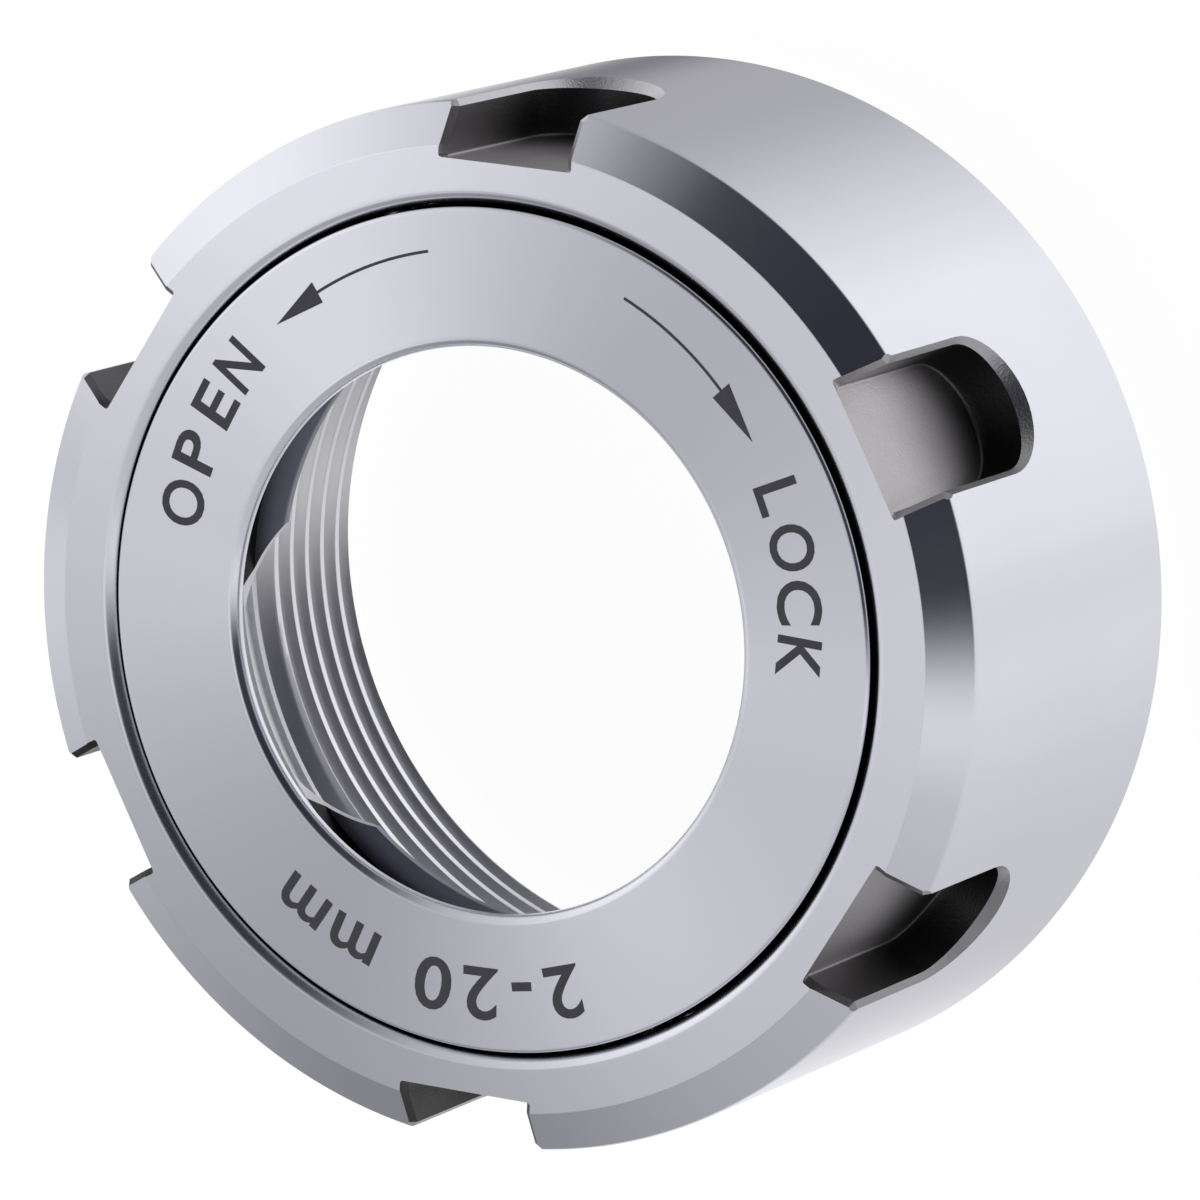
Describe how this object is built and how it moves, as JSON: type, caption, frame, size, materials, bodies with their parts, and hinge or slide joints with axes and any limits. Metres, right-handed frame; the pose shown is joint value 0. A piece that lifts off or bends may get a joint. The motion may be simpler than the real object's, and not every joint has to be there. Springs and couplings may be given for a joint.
{
  "type": "collet nut",
  "caption": "Round collet nut with spanner slots round its rim and a front ring that floats on a sealed ball race, with a conical seat and pull-out lip inside and a threaded rear bore.",
  "frame": {"origin": "centre of the rear face, on the nut's axis", "axes": "+Z along the axis towards the front ring, +X through the middle of one spanner slot"},
  "size_m": [0.05, 0.05, 0.0225],
  "materials": {
    "ground_steel": "fine ground and polished",
    "ring_steel": "fine turned, satin",
    "ball_steel": "polished"
  },
  "bodies": {
    "nut": {"nut_body": "ground_steel", "filler_plug": "ground_steel"},
    "ring": {"pressure_ring": "ring_steel"},
    "balls": {"ball_01": "ball_steel", "ball_02": "ball_steel", "ball_03": "ball_steel", "ball_04": "ball_steel", "ball_05": "ball_steel", "ball_06": "ball_steel", "ball_07": "ball_steel", "ball_08": "ball_steel", "ball_09": "ball_steel", "ball_10": "ball_steel", "ball_11": "ball_steel", "ball_12": "ball_steel", "ball_13": "ball_steel", "ball_14": "ball_steel", "ball_15": "ball_steel", "ball_16": "ball_steel", "ball_17": "ball_steel", "ball_18": "ball_steel", "ball_19": "ball_steel", "ball_20": "ball_steel", "ball_21": "ball_steel", "ball_22": "ball_steel", "ball_23": "ball_steel", "ball_24": "ball_steel", "ball_25": "ball_steel", "ball_26": "ball_steel", "ball_27": "ball_steel", "ball_28": "ball_steel", "ball_29": "ball_steel", "ball_30": "ball_steel", "ball_31": "ball_steel", "ball_32": "ball_steel", "ball_33": "ball_steel", "ball_34": "ball_steel", "ball_35": "ball_steel", "ball_36": "ball_steel", "ball_37": "ball_steel", "ball_38": "ball_steel", "ball_39": "ball_steel", "ball_40": "ball_steel", "ball_41": "ball_steel", "ball_42": "ball_steel", "ball_43": "ball_steel", "ball_44": "ball_steel", "ball_45": "ball_steel", "ball_46": "ball_steel", "ball_47": "ball_steel", "ball_48": "ball_steel", "ball_49": "ball_steel", "ball_50": "ball_steel"}
  },
  "joints": [
    {"name": "ring_spin", "type": "hinge", "parent": "nut", "child": "ring", "pos_m": [0, 0, 0.018], "axis": [0, 0, 1], "continuous": true},
    {"name": "balls_orbit", "type": "hinge", "parent": "nut", "child": "balls", "pos_m": [0, 0, 0.018], "axis": [0, 0, 1], "continuous": true}
  ],
  "couplings": [
    {"joint": "balls_orbit", "follows": "ring_spin", "ratio": 0.4781}
  ]
}
